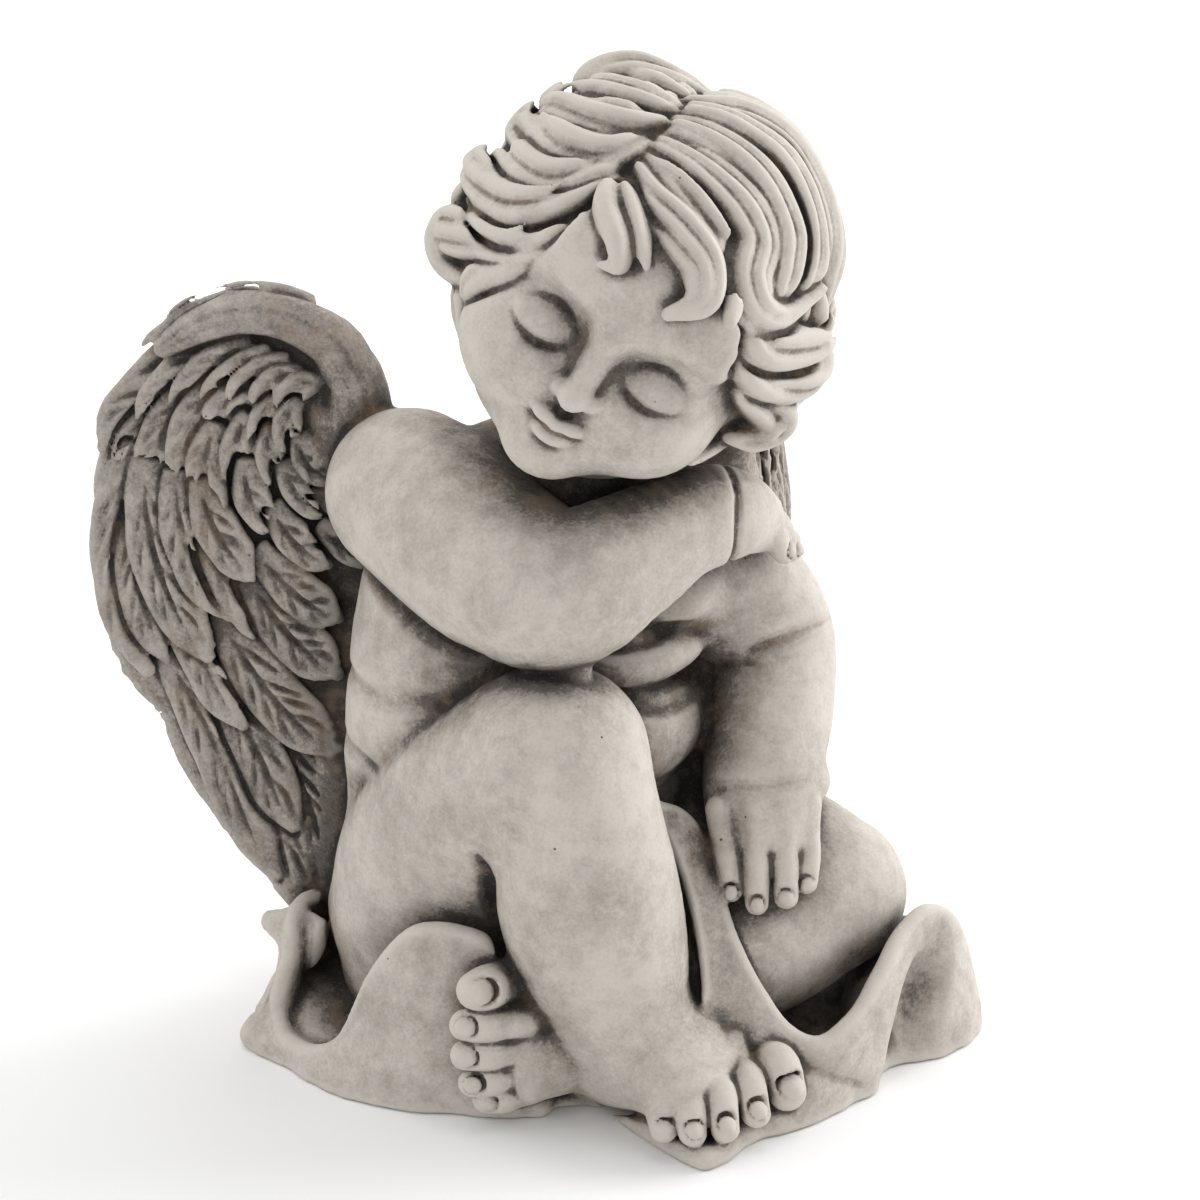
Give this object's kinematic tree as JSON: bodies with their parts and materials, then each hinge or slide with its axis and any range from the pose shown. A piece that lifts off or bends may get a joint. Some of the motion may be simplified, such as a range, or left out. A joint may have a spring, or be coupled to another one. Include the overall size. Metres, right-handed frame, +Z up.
{
  "type": "stone putto statue",
  "caption": "Seated winged child figure of cast stone, head resting on a folded arm over a raised knee, on a gathered cloth base; stands free as an ornament.",
  "frame": {"origin": "on the ground under the middle of the statue's box", "axes": "+Z up, -Y towards the front as the picture sees it, +X to the viewer's right"},
  "size_m": [0.1814, 0.1477, 0.2093],
  "materials": {
    "stone": "matt cast stone, dry-brushed pale over a dark wash"
  },
  "bodies": {
    "root": {"putto_statue": "stone"}
  },
  "joints": []
}
